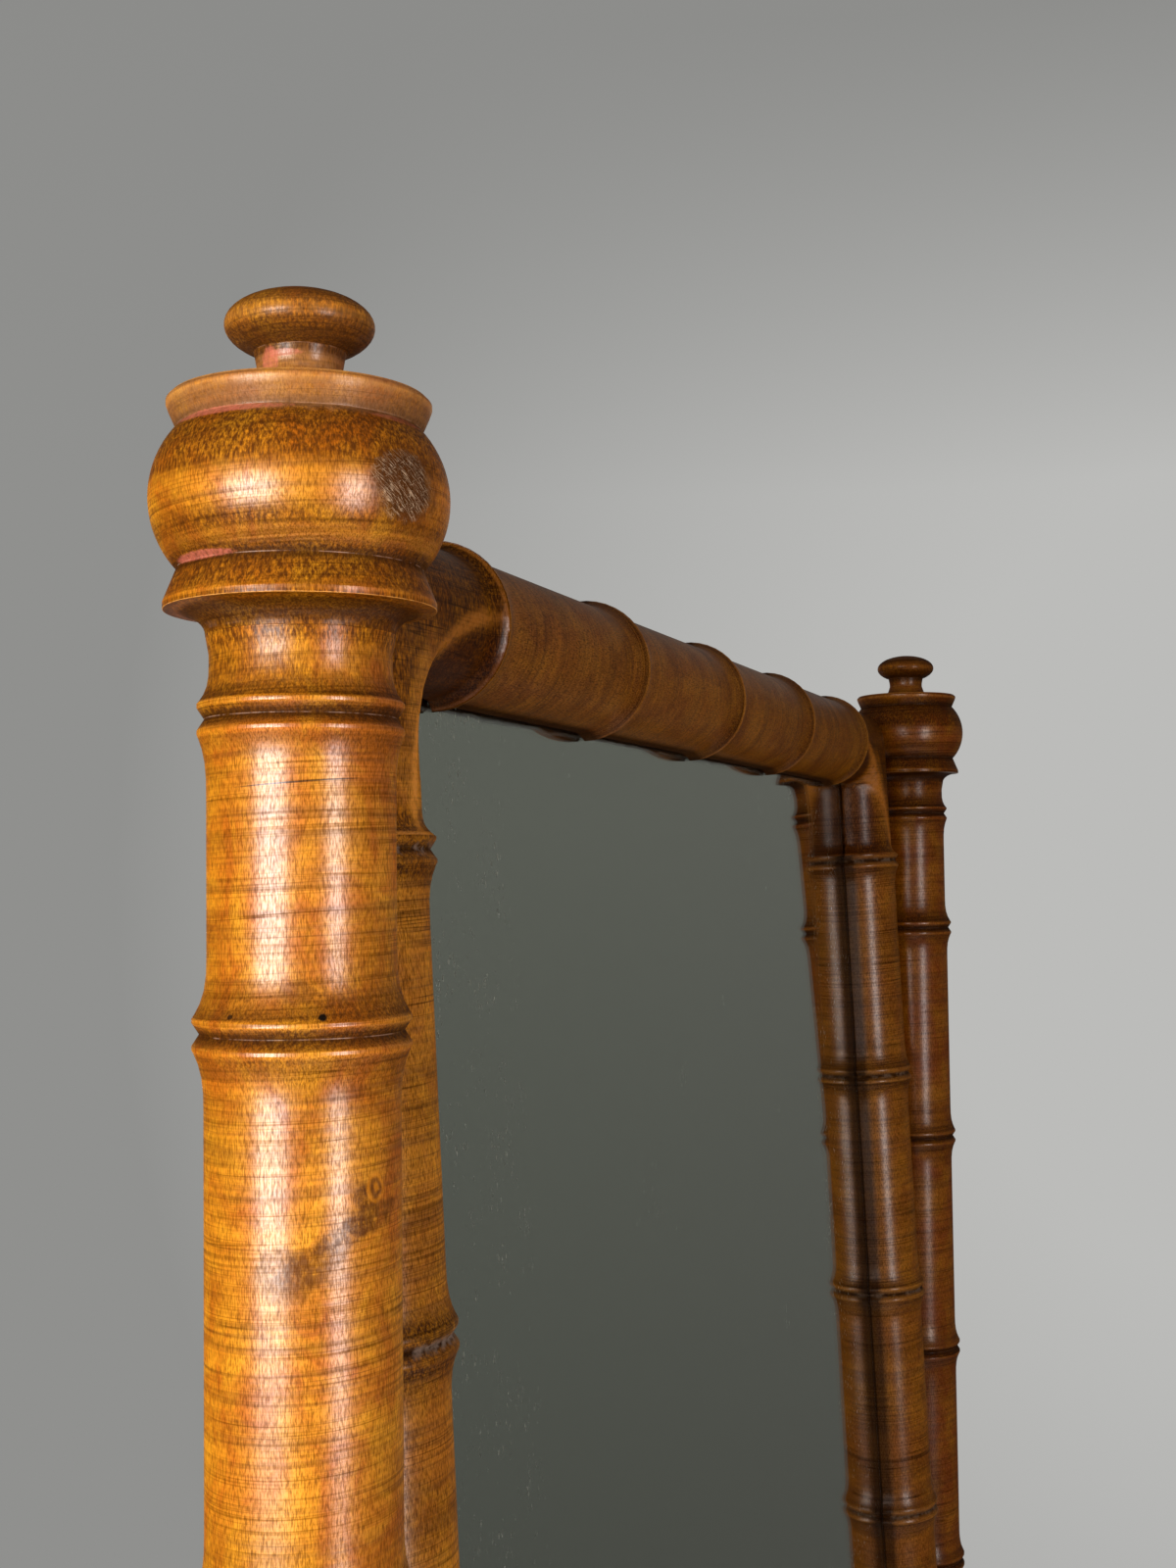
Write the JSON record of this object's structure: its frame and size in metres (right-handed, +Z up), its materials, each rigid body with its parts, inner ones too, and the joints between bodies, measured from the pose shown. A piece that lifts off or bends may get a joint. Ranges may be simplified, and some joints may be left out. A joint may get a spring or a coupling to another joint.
{
  "type": "cheval mirror",
  "caption": "Free-standing dressing mirror: a ringed frame holds silvered glass and tilts between two turned posts with urn finials, on foot bars with bun feet.",
  "frame": {"origin": "on the floor, midway between the two posts", "axes": "+X along the mirror's width to the right, -Y to the front, +Z up"},
  "size_m": [0.8698, 0.52, 1.7379],
  "materials": {
    "wood": "turned, honey-brown, satin polish",
    "frame_wood": "turned, red-brown, satin polish",
    "pale_wood": "unpolished softwood",
    "silvered_glass": "old silvering, polished face",
    "brass": "aged",
    "steel": "dull",
    "leather": "dark, plain"
  },
  "bodies": {
    "stand": {"left_post": "wood", "right_post": "wood", "left_finial": "wood", "right_finial": "wood", "left_finial_knob": "wood", "right_finial_knob": "wood", "left_foot_bar": "wood", "right_foot_bar": "wood", "left_front_foot": "wood", "left_rear_foot": "wood", "right_front_foot": "wood", "right_rear_foot": "wood", "left_front_brace": "wood", "left_rear_brace": "wood", "right_front_brace": "wood", "right_rear_brace": "wood", "upper_stretcher": "wood", "lower_stretcher": "wood", "spindles": "wood", "left_collar": "wood", "right_collar": "wood", "left_knob_washer": "brass", "right_knob_washer": "brass"},
    "mirror": {"top_rail": "frame_wood", "bottom_rail": "frame_wood", "left_stile": "frame_wood", "right_stile": "frame_wood", "mitre_dowels": "pale_wood", "mirror_plate": "silvered_glass", "glazing_blocks": "pale_wood", "upper_backboard": "pale_wood", "middle_backboard": "pale_wood", "lower_backboard": "pale_wood", "backboard_screws": "steel", "left_pivot_plate": "brass", "right_pivot_plate": "brass", "pivot_plate_screws": "steel", "left_friction_washer": "leather", "right_friction_washer": "leather"},
    "left_clamp": {"left_clamp_screw": "steel", "left_clamp_knob": "wood"},
    "right_clamp": {"right_clamp_screw": "steel", "right_clamp_knob": "wood"}
  },
  "joints": [
    {"name": "mirror_tilt", "type": "hinge", "parent": "stand", "child": "mirror", "pos_m": [0, 0, 1.09], "axis": [1, 0, 0], "continuous": true},
    {"name": "left_clamp_turn", "type": "hinge", "parent": "mirror", "child": "left_clamp", "pos_m": [-0.3885, 0, 1.09], "axis": [-1, 0, 0], "range_deg": [0, 360]},
    {"name": "right_clamp_turn", "type": "hinge", "parent": "mirror", "child": "right_clamp", "pos_m": [0.3885, 0, 1.09], "axis": [1, 0, 0], "range_deg": [0, 360]}
  ]
}
